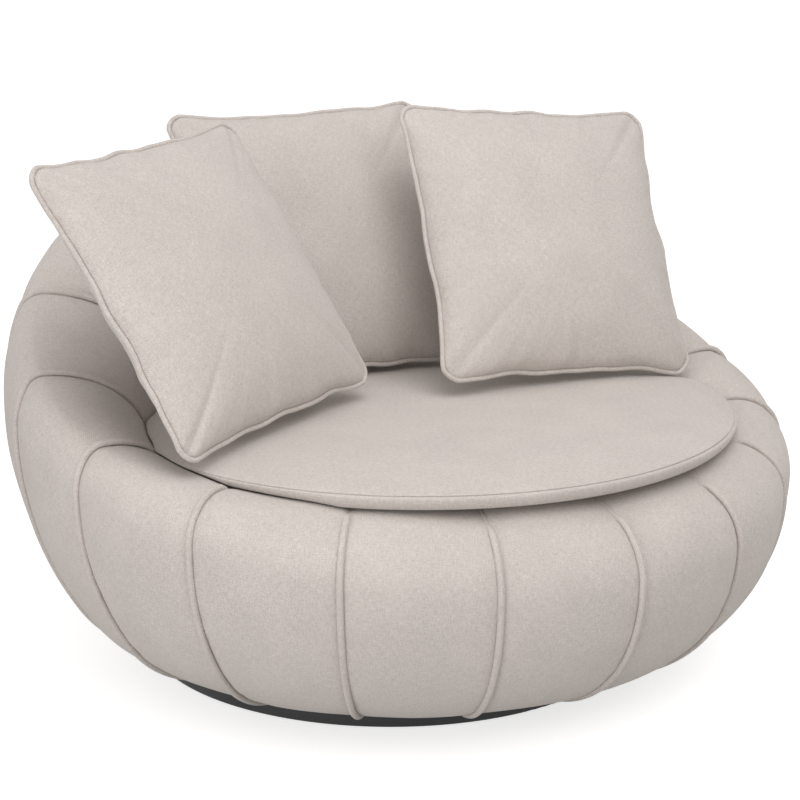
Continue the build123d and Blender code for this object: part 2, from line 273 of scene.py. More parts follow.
def tube(path, radius, sideways, closed=False):
    """Grid of a round cord along a path, with round ends unless it is closed."""
    path = np.asarray(path)
    around = np.roll(path, -1, 0) - np.roll(path, 1, 0)
    if not closed:
        around[0], around[-1] = path[1] - path[0], path[-1] - path[-2]
    ahead = around / np.linalg.norm(around, axis=1, keepdims=True)
    reach = np.full(len(path), radius)
    if not closed:
        turns = np.linspace(0, pi / 2, cap_steps + 1)[1:]
        tail = path[0] - np.outer(np.sin(turns), ahead[0]) * radius
        head = path[-1] + np.outer(np.sin(turns), ahead[-1]) * radius
        path = np.concatenate([tail[::-1], path, head])
        ahead = np.concatenate([[ahead[0]] * cap_steps, ahead, [ahead[-1]] * cap_steps])
        ends = radius * np.cos(turns)
        reach = np.concatenate([ends[::-1], reach, ends])
    across = np.cross(ahead, sideways)
    across /= np.linalg.norm(across, axis=1, keepdims=True)
    upward = np.cross(across, ahead)
    if closed:
        path, reach = np.concatenate([path, path[:1]]), np.concatenate([reach, reach[:1]])
        across, upward = np.concatenate([across, across[:1]]), np.concatenate([upward, upward[:1]])
    angles = np.linspace(0, tau, tube_sides + 1)
    ring = across[:, None] * np.cos(angles)[None, :, None] + upward[:, None] * np.sin(angles)[None, :, None]
    grid = path[:, None] + ring * reach[:, None, None]
    along = np.concatenate([[0], np.cumsum(np.linalg.norm(np.diff(path, axis=0), axis=1))])
    bias = sqrt(0.5)
    u = angles[None, :] * radius + np.zeros_like(along)[:, None]
    v = along[:, None] + np.zeros_like(angles)[None, :]
    return grid, np.stack([(u + v) * bias, (v - u) * bias], -1)


# Form of the body

def swing(sizes, azimuth):
    """Ease a size from the front through the sides to the back of the body."""
    front, side, back = sizes
    ends = (front + back) / 2
    turn = radians(azimuth)
    return (ends + side) / 2 + (front - back) / 2 * cos(turn) + (ends - side) / 2 * cos(2 * turn)


def quarter(across, up):
    """Radii of two tangent arcs that turn a quarter, and the angle where they meet."""
    turn = atan2(across, up)
    share = 1 - sin(turn) - cos(turn)
    first = (across * (1 - sin(turn)) - up * cos(turn)) / share
    second = (up * (1 - cos(turn)) - across * sin(turn)) / share
    return first, second, degrees(turn)


def oval(width, front, back, widest):
    """Arcs of a round about its widest line: centre X, centre Y, radius, start and end angle."""
    side_f, end_f, turn_f = quarter(width, front)
    side_b, end_b, turn_b = quarter(width, back)
    return [
        (width - side_b, widest, side_b, 0, turn_b),
        (0, widest + back - end_b, end_b, turn_b, 180 - turn_b),
        (side_b - width, widest, side_b, 180 - turn_b, 180),
        (side_f - width, widest, side_f, 180, 180 + turn_f),
        (0, widest - front + end_f, end_f, 180 + turn_f, 360 - turn_f),
        (width - side_f, widest, side_f, 360 - turn_f, 360),
    ]


def inside(arcs, inset):
    """The same round, inset all round."""
    return [(x, y, radius - inset, start, end) for x, y, radius, start, end in arcs]


def ray_to(arcs, origin, east, north):
    """How far a ray from inside a round runs to its edge."""
    slack = 0.01
    for x, y, radius, start, end in arcs:
        dx, dy = x - origin[0], y - origin[1]
        along = dx * east + dy * north
        square = along ** 2 - dx ** 2 - dy ** 2 + radius ** 2
        if square < 0:
            continue
        reach = along + sqrt(square)
        angle = degrees(atan2(reach * north - dy, reach * east - dx)) % 360
        if start - slack <= angle <= end + slack:
            return reach
    raise ValueError("the ray starts outside the round")


def reach_to(arcs, azimuth):
    """Radius of a round from the body axis along one azimuth."""
    turn = radians(azimuth)
    return ray_to(arcs, (0, -body_forward), sin(turn), -cos(turn))


well = oval(well_half_width, well_front, well_back, well_widest)
lip_seam = oval(lip_half_width, lip_front, lip_back, lip_widest)


def crest_height(azimuth):
    """Height of the rim, which is raised at the front corners of the seat."""
    turn = radians(azimuth)
    corner = radians(corner_azimuth)
    rise = corner_rise * (cos(turn) - cos(3 * turn)) / (cos(corner) - cos(3 * corner))
    return swing(crest, azimuth) + rise


def roll_arcs(azimuth, puff):
    """Six arcs of the body's section, from the underside over the rim into the well."""
    wide = body_radius + puff
    middle = swing(waist, azimuth)
    top = crest_height(azimuth) + puff / 2
    peak = body_radius - swing(crest_inset, azimuth)
    wall = reach_to(well, azimuth) - puff / 2
    drop = swing(roll_drop, azimuth)
    side_low, end_low, turn_low = quarter(wide - underside_radius, middle - underside_height)
    side_up, end_up, turn_up = quarter(wide - peak, top - middle)
    side_in, end_in, turn_in = quarter(peak - wall, drop)
    return [
        (underside_radius, underside_height + end_low, end_low, -90, -turn_low),
        (wide - side_low, middle, side_low, -turn_low, 0),
        (wide - side_up, middle, side_up, 0, turn_up),
        (peak, top - end_up, end_up, turn_up, 90),
        (peak, top - end_in, end_in, 90, 180 - turn_in),
        (wall + side_in, top - drop, side_in, 180 - turn_in, 180),
    ]


def arc_points(arc, depth, count):
    x, y, radius, start, end = arc
    angles = np.radians(np.linspace(start, end, count, endpoint=False))
    reach = radius - depth
    return np.stack([x + reach * np.cos(angles), y + reach * np.sin(angles)], -1)


def section(azimuth, puff, depth):
    """Radius and height along the body's section, from the hem to the foot of the well wall."""
    arcs = roll_arcs(azimuth, puff)
    x, y, radius, start, end = arcs[-1]
    wall = x - radius + depth
    low = underside_height + depth
    hem_ends = (underside_radius - tuck_width, low), (underside_radius, low)
    hem = np.linspace(*hem_ends, hem_steps, endpoint=False)
    foot = np.linspace((wall, y), (wall, deck_height + fit_gap), wall_steps)
    rolls = [arc_points(arc, depth, count) for arc, count in zip(arcs, arc_steps)]
    return np.concatenate([hem, *rolls, foot])


def swell(share):
    """Puff of a panel from one seam, -1, to the other, 1."""
    return panel_puff * (1 - abs(share) ** edge_power)


def place(radius_height, azimuth):
    """Points of a section turned to their azimuth about the body's axis."""
    turn = radians(azimuth)
    r, z = radius_height[:, 0], radius_height[:, 1]
    return np.stack([r * sin(turn), -body_forward - r * cos(turn), z], -1)


def gore_grid(number, depth):
    """Grid of one panel from seam to seam, with its cloth coordinates."""
    even = np.linspace(-1, 1, gore_columns)
    shares = (even + np.sin(even * pi / 2)) / 2
    half_angle = radians(gore_angle / 2)
    columns, cloth = [], []
    for share in shares:
        azimuth = (number + (share + 1) / 2) * gore_angle
        from_seam = (1 - abs(share)) * half_angle * body_radius
        dip = seam_dip * np.exp(-(from_seam / seam_soft) ** 2)
        line = section(azimuth, swell(share), depth + dip)
        steps = np.linalg.norm(np.diff(line, axis=0), axis=1)
        columns.append(place(line, azimuth))
        along = np.concatenate([[0], np.cumsum(steps)])
        cloth.append(np.stack([line[:, 0] * share * half_angle, along], -1))
    return np.stack(columns, 1), np.stack(cloth, 1)


def ruffle(piece, number):
    """Uneven stuffing all over, and small gathers along both seams."""
    mesh = piece.data
    points = positions(mesh)
    normals = np.array([v.normal for v in mesh.vertices])
    turn = np.degrees(np.arctan2(points[:, 0], -body_forward - points[:, 1]))
    from_middle = (turn - (number + 0.5) * gore_angle + 180) % 360 - 180
    share = from_middle / gore_angle
    out = np.hypot(points[:, 0], points[:, 1] + body_forward)
    from_seam = (0.5 - np.abs(share)).clip(0) * radians(gore_angle) * out
    gathers = wave(points + np.sign(share)[:, None], pucker_length, number)
    fade = np.exp(-from_seam / pucker_reach) * np.clip(from_seam / seam_soft, 0, 1)
    lift = 2 * uneven_height * wave(points, uneven_length, 0) + 2 * pucker_height * gathers * fade
    hem = points[:, 2] < underside_height + cover_thickness
    set_positions(mesh, points + normals * np.where(hem, 0, lift)[:, None])


def make_body(cloth, foam):
    for number in range(gore_count):
        panel = make_piece(f"panel_{number + 1:02d}", [gore_grid(number, 0.0)], cloth, "chair_body")
        ruffle(panel, number)
        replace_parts(thicken(panel, cover_thickness), f"cover_panel_{number + 1:02d}")
    for block in range(gore_count // 2):
        halves = [gore_grid(2 * block + half, foam_depth) for half in (0, 1)]
        pad = make_piece(f"foam_pad_{block + 1}", halves, foam, "chair_body")
        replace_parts(thicken(pad, foam_thickness), f"foam_block_{block + 1}")


# Room round the seat cushion

def upper_sections():
    """Upper sections of the swollen body at every degree, and their outward directions."""
    lower = hem_steps + arc_steps[0] + arc_steps[1]
    lines = []
    for azimuth in range(360):
        share = azimuth % gore_angle / gore_angle * 2 - 1
        lines.append(section(azimuth, swell(share), 0.0)[lower:])
    placed = np.concatenate([place(line, azimuth) for azimuth, line in enumerate(lines)])
    lines = np.stack(lines)
    ahead = np.gradient(lines, axis=1)
    ahead /= np.linalg.norm(ahead, axis=2, keepdims=True)
    outward = np.stack([ahead[..., 1], -ahead[..., 0]], -1)
    uneven = 2 * uneven_height * wave(placed, uneven_length, 0).reshape(lines.shape[:2])
    return lines + outward * uneven[..., None], outward


rim_lines, rim_outward = upper_sections()


def about_axis(flat):
    """Azimuth and radius of points about the body's axis."""
    x, y = flat[..., 0], flat[..., 1] + body_forward
    return np.degrees(np.arctan2(x, -y)), np.hypot(x, y)


def within_rim(flat, height):
    """Points held clear inside the rim wherever it rises above a height."""
    inner = rim_lines[:, arc_steps[2] + arc_steps[3]:]
    room = [np.interp(-height, -line[:, 1], line[:, 0], left=1.0) - rim_clear for line in inner]
    azimuth, reach = about_axis(flat)
    most = np.interp(azimuth, np.arange(360), room, period=360)
    axis = np.array([0, -body_forward])
    return axis + (flat - axis) * np.minimum(most / np.maximum(reach, tiny), 1)[..., None]


def rim_top(flat):
    """Height of the rim's surface at points."""
    azimuth, reach = about_axis(flat)
    before = np.floor(azimuth).astype(int)
    share = azimuth - before
    heights = []
    for spot in (before, before + 1):
        lines = rim_lines[spot.ravel() % 360, ::-1]
        found = [np.interp(r, line[:, 0], line[:, 1]) for r, line in zip(reach.ravel(), lines)]
        heights.append(np.reshape(found, reach.shape))
    return heights[0] * (1 - share) + heights[1] * share


def keep_clear(points):
    """Push points out of the padded rim until they clear it."""
    flat = points[:, :2] + (0, body_forward)
    azimuth, reach = about_axis(points)
    spot = np.round(azimuth).astype(int) % 360
    across = np.maximum(reach, tiny)
    upright = np.stack([across, points[:, 2]], -1)
    away = upright[:, None] - rim_lines[spot]
    near = np.argmin((away ** 2).sum(-1), axis=1)
    normal = rim_outward[spot, near]
    short = rim_clear - (away[np.arange(len(points)), near] * normal).sum(-1)
    upright += normal * short.clip(0)[:, None]
    flat *= (upright[:, 0] / across)[:, None]
    return np.column_stack([flat - (0, body_forward), upright[:, 1]])


# Stuffed forms

def square_cells(count):
    """Even grid from -1 to 1 both ways."""
    side = np.linspace(-1, 1, count + 1)
    return np.meshgrid(side, side)


def square_edge(count):
    """Edge points of a square, once round and back to the first."""
    side = np.linspace(-1, 1, count + 1)[:-1]
    one = np.ones_like(side)
    u = np.concatenate([side, one, -side, -one, [-1]])
    v = np.concatenate([-one, side, one, -side, [-1]])
    return u, v


def border(u, v):
    """Share of the way to the edge of a square, and the point of the edge beyond."""
    share = np.maximum(np.abs(u), np.abs(v))
    middle = share < least_share
    safe = np.where(middle, 1, share)
    return share, np.where(middle, 1.0, u / safe), v / safe


def lying_on(points, line):
    """Which points lie on a line of points."""
    tree = KDTree(len(line))
    for number, spot in enumerate(line):
        tree.insert(spot, number)
    tree.balance()
    nearby = 0.0002
    return np.array([tree.find(p)[2] < nearby for p in points])


def eased(mesh, move):
    """Moves of a mesh's points with small folds evened out."""
    ends = np.array([edge.vertices for edge in mesh.edges])
    count = np.bincount(ends.ravel(), minlength=len(move))[:, None]
    for _ in range(fold_easing):
        total = np.zeros_like(move)
        np.add.at(total, ends[:, 0], move[ends[:, 1]])
        np.add.at(total, ends[:, 1], move[ends[:, 0]])
        move = (move + total / count) / 2
    return move


def stuff(piece, held, cap, slack):
    """Swell a closed form as stuffed cloth. Held points stay, and none moves further than the cap."""
    mesh = piece.data
    rest = positions(mesh)
    group = piece.vertex_groups.new(name="held")
    group.add([int(i) for i in np.flatnonzero(held)], 1.0, "REPLACE")
    cloth = piece.modifiers.new("cloth", "CLOTH")
    settings = cloth.settings
    settings.quality = 4
    settings.mass = 0.3
    settings.tension_stiffness = 15
    settings.compression_stiffness = 15
    settings.bending_stiffness = 0.5
    settings.shrink_min = -slack
    settings.use_pressure = True
    settings.uniform_pressure_force = cloth_pressure
    settings.effector_weights.gravity = 0
    settings.vertex_group_mass = "held"
    cloth.point_cache.frame_start = 1
    cloth.point_cache.frame_end = simulated_frames
    for number in range(1, simulated_frames + 1):
        scene.frame_set(number)
    shown = piece.evaluated_get(bpy.context.evaluated_depsgraph_get())
    move = positions(shown.data) - rest
    piece.modifiers.remove(cloth)
    piece.vertex_groups.remove(group)
    scene.frame_set(1)
    move = np.where(held[:, None], 0, eased(mesh, move))
    far = np.linalg.norm(move, axis=1, keepdims=True)
    set_positions(mesh, rest + move * cap * np.tanh(far / cap) / np.maximum(far, tiny))


def ring_of(arcs, u, v):
    """Points of a round, seen from the seat's middle, that lie beyond the edge points of a square."""
    found = []
    for x, y in np.stack([u.ravel(), v.ravel()], -1):
        size = hypot(x, y)
        reach = ray_to(arcs, (0, lip_widest), x / size, y / size)
        found.append((x / size * reach, lip_widest + y / size * reach))
    return np.array(found).reshape(*u.shape, 2)


def outwards(flat, distance):
    """Points moved away from the seat's middle."""
    from_middle = flat - (0, lip_widest)
    size = np.linalg.norm(from_middle, axis=-1, keepdims=True)
    return flat + from_middle / size * np.broadcast_to(distance, flat.shape[:-1])[..., None]


def level(flat, height):
    return np.concatenate([flat, np.broadcast_to(height, flat.shape[:-1])[..., None]], -1)


def disc(edge_of, count, height, crowding=1.0):
    """Grid that fills a round, closer towards its edge, with a height for each share of the way there."""
    u, v = square_cells(count)
    share, edge_u, edge_v = border(u, v)
    share = 1 - (1 - share) ** crowding
    edge = edge_of(edge_u, edge_v)
    centre = np.array([0, lip_widest])
    flat = centre + (edge - centre) * share[..., None]
    return level(flat, height(share)), flat


def seat_edge(u, v):
    """Top seam of the cushion, let out along its sides as far as the rim."""
    seam = ring_of(lip_seam, u, v)
    azimuth = about_axis(seam)[0]
    across = np.clip((np.abs(azimuth) - spread_from) / (spread_to - spread_from), 0, 1)
    return within_rim(outwards(seam, seat_spread * np.sin(pi * across) ** 2), seam_height)


def seat_foot(seam):
    """Lower edge of the band and its height, raised where it lies on the rim."""
    low = outwards(seam, -lip_tuck)
    return low, np.clip(rim_top(low) + rim_clear, lip_bottom, seam_height - band_least)


def seat_side(u, v):
    """Rows of the cushion from its top seam over the band, under the lip and down the plug."""
    seam = seat_edge(u, v)
    low, low_height = seat_foot(seam)
    tall = seam_height - low_height
    plug = ring_of(inside(well, cushion_gap), u, v)
    rows = [level(seam, seam_height), level(outwards(seam, -seam_groove), seam_height - seam_width / 2)]
    for turn in np.radians(np.linspace(band_start, -90, band_rows)):
        share = (1 - sin(turn)) / 2
        bulge = band_bulge * cos(turn) * tall / lip_height
        rows.append(level(outwards(seam + (low - seam) * share, bulge), seam_height - tall * share))
    shares = np.linspace(0, 1, side_rows + 1)[1:]
    for share in shares:
        rows.append(level(low + (plug - low) * share, low_height + (lip_bottom - low_height) * share))
    foot = cushion_bottom + cushion_bottom_round
    rows += [level(plug, lip_bottom + (foot - lip_bottom) * share) for share in shares]
    for turn in shares * pi / 2:
        ring = ring_of(inside(well, cushion_gap + cushion_bottom_round * (1 - cos(turn))), u, v)
        rows.append(level(ring, foot - cushion_bottom_round * sin(turn)))
    return np.stack(rows)


def welt_line(azimuth, edge):
    """Radius and height along one cord, from above the base to the well, pressed in at the seat cushion."""
    arcs = roll_arcs(azimuth, 0)
    x, y, radius, start, end = arcs[0]
    arcs[0] = (x, y, radius, start + welt_toe, end)
    spans = list(zip(arcs, arc_steps))
    line, deep = [np.concatenate([arc_points(arc, depth, welt_rows * count) for arc, count in spans])
                  for depth in (-welt_lift, welt_sink)]
    turns, reach = about_axis(edge)
    room = line[:, 0] - np.interp(azimuth, turns, reach, period=360)
    beside = (line[:, 1] > swing(waist, azimuth)) & (line[:, 1] < seam_height + 2 * welt_radius)
    sink = np.where(beside, np.clip(1 - room / sink_run, 0, 1), 0)
    line += (deep - line) * sink[:, None]
    under = np.flatnonzero(beside & (room < welt_radius))
    return line[:under[0]] if crest_height(azimuth) > lip_bottom and len(under) else line


def make_welts(cloth):
    """Fabric-covered cords along the seams, ending in rounded tails above the base."""
    edge = seat_edge(*square_edge(seat_cells))
    cords = []
    for number in range(gore_count):
        azimuth = number * gore_angle
        turn = radians(azimuth)
        cords.append(tube(place(welt_line(azimuth, edge), azimuth), welt_radius, (cos(turn), sin(turn), 0)))
    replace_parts(make_piece("welts", cords, cloth, "chair_body"), "welt_piping")


def make_seat(cloth):
    """Round seat cushion: a crowned top, a thin rounded band and a plug in the well."""
    crown = crown_start * crown_height
    edge_crowding = 1.3
    top = disc(seat_edge, seat_cells, lambda s: seam_height + crown * (1 - s ** crown_power), edge_crowding)
    side = seat_side(*square_edge(seat_cells))
    around = np.concatenate([[0], np.cumsum(np.linalg.norm(np.diff(side[0], axis=0), axis=1))])
    steps = np.linalg.norm(np.diff(side, axis=0), axis=2).mean(1)
    along = np.concatenate([[0], np.cumsum(steps)])
    side_weave = np.stack(np.broadcast_arrays(around[None, :], along[:, None]), -1)
    base = inside(well, cushion_gap + cushion_bottom_round)
    low, low_weave = disc(lambda u, v: ring_of(base, u, v), seat_cells, lambda s: cushion_bottom + 0 * s)
    patches = [top, (side[::-1], side_weave[::-1]), (low[:, ::-1], low_weave[:, ::-1])]
    seat = make_piece("seat_cushion_cover", patches, cloth, "seat_cushion")
    mesh = seat.data
    points = positions(mesh)
    seam_margin = seam_width / 8
    below_seam = points[:, 2] < seam_height + seam_margin
    set_positions(mesh, keep_clear(points))
    stuff(seat, below_seam, seat_cap, seat_slack)
    points = positions(mesh)
    above = (points[:, 2] - seam_height).clip(0)
    points[:, 2] += above * (crown_height / above.max() - 1)
    set_positions(mesh, keep_clear(points))
    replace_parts(seat, "seat_cushion_core", "seat_cushion_top", "seat_cushion_band", "seat_cushion_underside")
    soften(seat)


def pillow_outline(u, v, out, seed, share=1.0):
    """Edge of a pillow: drawn-in sides, round corners and a seam that wanders, less further in."""
    half = pillow_side / 2
    x = u * (half - pillow_draw * (1 - v ** 4) ** 2 * (np.abs(u) >= np.abs(v)))
    z = v * (half - pillow_draw * (1 - u ** 4) ** 2 * (np.abs(v) >= np.abs(u)))
    cx = np.clip(x, pillow_corner - half, half - pillow_corner)
    cz = np.clip(z, pillow_corner - half, half - pillow_corner)
    dx, dz = x - cx, z - cz
    size = np.maximum(np.hypot(dx, dz), tiny)
    at_corner = (np.abs(dx) > tiny) & (np.abs(dz) > tiny)
    fit = np.where(at_corner, np.minimum(pillow_corner / size, 1), 1)
    x, z = cx + dx * fit, cz + dz * fit
    away = np.maximum(np.hypot(x, z), tiny)
    flat = np.stack([x.ravel(), np.zeros(x.size), z.ravel()], -1)
    most = 2 * seam_wave * share ** seam_wave_fade
    wander = wave(flat, seam_wave_length, seed).reshape(x.shape) * most
    sway = wave(flat, seam_wave_length, seed + len(pillow_places)).reshape(x.shape) * most
    grow = 1 + (wander + out) / away
    return np.stack([x * grow, sway, z * grow], -1)


def pillow_matrix(foot, turns):
    rx, ry, rz = (radians(turn) for turn in turns)
    spin = Matrix.Rotation(rx, 4, "X") @ Matrix.Rotation(ry, 4, "Y") @ Matrix.Rotation(rz, 4, "Z")
    return Matrix.Translation(foot) @ spin @ Matrix.Translation((0, 0, pillow_side / 2))


def moved(points, matrix):
    spin = np.array(matrix.to_3x3())
    return points @ spin.T + np.array(matrix.translation)


def gather(points, seed):
    """Gathers at right angles to a pillow's seam, fading towards its middle, and an uneven filling."""
    half = pillow_side / 2
    share = np.maximum(np.abs(points[:, 0]), np.abs(points[:, 2])) / half
    side = np.sign(points[:, 1])
    edge = points / np.maximum(share, least_share)[:, None]
    edge[:, 1] = side * half
    room = (1 - np.abs(points[:, (0, 2)]) / half).clip(0)
    inward = half * room.prod(1) / np.maximum(room.sum(1), least_share)
    fade = np.exp(-inward / gather_reach) * np.clip(inward / seam_soft, 0, 1)
    folds = gather_height * wave(edge, gather_length, seed) * fade
    lumps = uneven_height * wave(points, uneven_length, seed) * np.clip(inward / gather_reach, 0, 1)
    return 2 * side * (folds + lumps)


def make_pillow(name, seed, cloth):
    """Knife-edge pillow: two faces swollen from a piped seam."""
    matrix = pillow_matrix(*pillow_places[name])
    u, v = square_cells(pillow_cells)
    share, edge_u, edge_v = border(u, v)
    flat = pillow_outline(edge_u, edge_v, 0.0, seed, share) * share[..., None]
    rise = ((1 - np.abs(u) ** pillow_power) * (1 - np.abs(v) ** pillow_power)) ** pillow_steep
    rise *= pillow_start * pillow_depth / 2
    weave = np.stack([u, v], -1) * pillow_side / 2
    front, back = flat - np.stack([0 * u, rise, 0 * u], -1), flat + np.stack([0 * u, rise, 0 * u], -1)
    faces = [(front, weave), (back[:, ::-1], weave[:, ::-1])]
    cover = make_piece(f"{name}_cover", faces, cloth, name)
    mesh = cover.data
    seam_u, seam_v = square_edge(pillow_cells)
    seam = pillow_outline(seam_u, seam_v, 0.0, seed)
    stuff(cover, lying_on(positions(mesh), seam), pillow_cap, pillow_slack)
    points = positions(mesh)
    points[:, 1] *= pillow_depth / 2 / np.abs(points[:, 1]).max()
    points[:, 1] += gather(points, seed)
    set_positions(mesh, moved(points, matrix))
    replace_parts(cover, f"{name}_insert", f"{name}_front", f"{name}_back")
    soften(cover)
    beside = piping_out * pillow_piping
    loop = moved(pillow_outline(seam_u, seam_v, beside, seed), matrix)[:-1]
    facing = np.array(matrix.to_3x3() @ Vector((0, 1, 0)))
    cord = make_piece(f"{name}_cord", [tube(loop, pillow_piping, facing, True)], cloth, name)
    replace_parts(cord, f"{name}_piping")


# Deck under the cushion

def strap_grid(across, height, lengthwise, middle):
    """Top of one webbing strap, with slightly thinner edges."""
    lines = []
    east, north = (0, 1) if lengthwise else (1, 0)
    thin, flatness = 0.35, 8
    for offset in np.linspace(-strap_width / 2, strap_width / 2, strap_rows):
        origin = (across + offset, well_widest) if lengthwise else (0, middle + across + offset)
        far = ray_to(well, origin, east, north) - strap_inset
        near = ray_to(well, origin, -east, -north) - strap_inset
        reach = np.linspace(-near, far, strap_columns)
        x, y = origin[0] + east * reach, origin[1] + north * reach
        edge = strap_thickness * (1 - thin * (2 * offset / strap_width) ** flatness)
        lines.append(np.stack([x, y, np.full_like(x, height + edge)], -1))
    grid = np.stack(lines, 1 if lengthwise else 0)
    return grid, grid[..., :2] if lengthwise else grid[..., 1::-1]


def make_deck(webbing, black):
    middle = well_widest + (well_back - well_front) / 2
    layers = {
        "webbing_lengthwise": (deck_height, True),
        "webbing_crosswise": (deck_height + strap_thickness, False),
    }
    for node, (height, lengthwise) in layers.items():
        places = [(number - (strap_count - 1) / 2) * strap_pitch for number in range(strap_count)]
        straps = [strap_grid(across, height, lengthwise, middle) for across in places]
        piece = make_piece(node + "_straps", straps, webbing, "chair_body")
        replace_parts(thicken(piece, strap_thickness - fit_gap), node)
    cut = inside(well, cloth_inset)
    sheet_top = strap_top + cloth_thickness
    sheet, weave = disc(lambda u, v: ring_of(cut, u, v), deck_cells, lambda s: sheet_top + 0 * s)
    over = np.cos(tau * sheet[..., 0] / strap_pitch) + np.cos(tau * (sheet[..., 1] - middle) / strap_pitch)
    sheet[..., 2] -= deck_dip * (2 - over) / 4
    deck = make_piece("deck_sheet", [(sheet, weave)], black, "chair_body")
    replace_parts(thicken(deck, cloth_thickness), "deck_cloth")


def make_dust_cover(black):
    """Black cloth under the body, round the bearing."""
    turns = np.linspace(0, tau, 121)
    inner = np.stack([dust_inner * np.sin(turns), dust_inner * np.cos(turns)], -1)
    outer = np.stack([dust_outer * np.sin(turns), dust_outer * np.cos(turns) - body_forward], -1)
    rings = []
    for share in np.linspace(0, 1, 13):
        rings.append(level(inner + (outer - inner) * share, dust_height - dust_sag * sin(pi * share) ** 2))
    grid = np.stack(rings)[:, ::-1]
    dust = make_piece("dust_sheet", [(grid, grid[..., :2])], black, "chair_body")
    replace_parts(thicken(dust, cloth_thickness), "dust_cover")


# Materials

class Nodes:
    """Short hand for building one node material."""

    def __init__(self, name):
        self.material = bpy.data.materials.new(name)
        self.material.use_nodes = True
        self.tree = self.material.node_tree
        self.shader = self.tree.nodes["Principled BSDF"]

    def add(self, kind, inputs=None, **settings):
        node = self.tree.nodes.new(kind)
        for key, value in settings.items():
            setattr(node, key, value)
        for key, value in (inputs or {}).items():
            self.feed(node.inputs[key], value)
        return node

    def feed(self, socket, value):
        if isinstance(value, bpy.types.NodeSocket):
            self.tree.links.new(value, socket)
        else:
            socket.default_value = value

    def set(self, **values):
        for key, value in values.items():
            self.feed(self.shader.inputs[key.replace("_", " ")], value)

    def math(self, operation, a, b=0.0, c=0.0):
        return self.add("ShaderNodeMath", {0: a, 1: b, 2: c}, operation=operation).outputs[0]

    def noise(self, vector, scale, detail=2.0, rough=0.5):
        inputs = {"Vector": vector, "Scale": scale, "Detail": detail, "Roughness": rough}
        return self.add("ShaderNodeTexNoise", inputs).outputs["Fac"]

    def scaled(self, vector, scale):
        return self.add("ShaderNodeMapping", {"Vector": vector, "Scale": scale}).outputs[0]

    def ramp(self, value, stops):
        node = self.add("ShaderNodeValToRGB", {"Fac": value})
        points = node.color_ramp.elements
        while len(points) < len(stops):
            points.new(0.5)
        for point, (at, colour) in zip(points, stops):
            point.position = at
            point.color = (*colour, 1)
        return node.outputs["Color"]

    def tint(self, a, b):
        """One colour times another."""
        node = self.add("ShaderNodeMix", data_type="RGBA", blend_type="MULTIPLY")
        self.feed(node.inputs["Factor"], 1.0)
        self.feed(node.inputs["A"], a)
        self.feed(node.inputs["B"], b)
        return node.outputs["Result"]

    def bump(self, height, strength, distance):
        inputs = {"Height": height, "Strength": strength, "Distance": distance}
        self.set(Normal=self.add("ShaderNodeBump", inputs).outputs[0])

    def weave_uv(self):
        return self.add("ShaderNodeUVMap", uv_map=WEAVE).outputs[0]

    def object_space(self):
        return self.add("ShaderNodeTexCoord").outputs["Object"]


def linear(red, green, blue):
    """Scene colour of an sRGB colour from 0 to 255."""
    scaled = [value / 255 for value in (red, green, blue)]
    return tuple(((s + 0.055) / 1.055) ** 2.4 if s > 0.04045 else s / 12.92 for s in scaled)


def grey(value):
    return (value, value, value)


def woven(name, light, dark, pitch, rough, sheen, depth, heather):
    """Plain weave of uneven yarns, each with its own light and dark stretches, a soft mottle, and painted
    shade in the pits between the yarns.
    """
    stretch = 110.0                     # yarn tones change this often in a metre
    drift_scale, fleck_scale, mottle_scale = 260.0, 420.0, 14.0
    m = Nodes(name)
    uv = m.weave_uv()
    parts = m.add("ShaderNodeSeparateXYZ", {0: uv})
    drift = m.noise(uv, drift_scale, 1.0)
    lines = [m.math("MULTIPLY_ADD", drift, 0.5, m.math("DIVIDE", side, pitch)) for side in parts.outputs[:2]]
    warp, weft = [m.math("SINE", m.math("MULTIPLY", line, pi)) for line in lines]
    cross = m.math("MULTIPLY", warp, weft)
    ribs = m.math("MAXIMUM", m.math("ABSOLUTE", warp), m.math("ABSOLUTE", weft))
    height = m.math("MULTIPLY_ADD", cross, 0.5, m.math("MULTIPLY", ribs, 0.4))
    warp_tone = m.noise(m.scaled(uv, (0.9 / pitch, stretch, 1)), 1.0, 2.0)
    weft_tone = m.noise(m.scaled(uv, (stretch, 0.9 / pitch, 1)), 1.0, 2.0)
    over = m.math("GREATER_THAN", cross, 0.0)
    yarns = m.math("MULTIPLY_ADD", m.math("SUBTRACT", warp_tone, weft_tone), over, weft_tone)
    fleck = m.noise(m.object_space(), fleck_scale, 3.0, 0.7)
    mottle = m.noise(m.object_space(), mottle_scale, 3.0, 0.6)
    tone = m.math("MULTIPLY_ADD", yarns, 0.6, m.math("MULTIPLY", fleck, 0.4))
    shade = m.ramp(tone, [(0.5 - heather, dark), (0.5 + heather, light)])
    soft = m.ramp(mottle, [(0.35, grey(0.95)), (0.65, grey(1.0))])
    # painted shade: colour darkened to 0.86 in the low pits between the yarns, where shade falls
    painted_pit_shade = m.ramp(height, [(0.0, grey(0.86)), (0.45, grey(1.0))])
    m.set(Base_Color=m.tint(m.tint(shade, soft), painted_pit_shade))
    m.set(Roughness=rough, Sheen_Weight=sheen, Sheen_Roughness=0.5, Specular_IOR_Level=0.2)
    m.bump(m.math("MULTIPLY_ADD", fleck, 0.6, height), 0.5, depth)
    return m.material


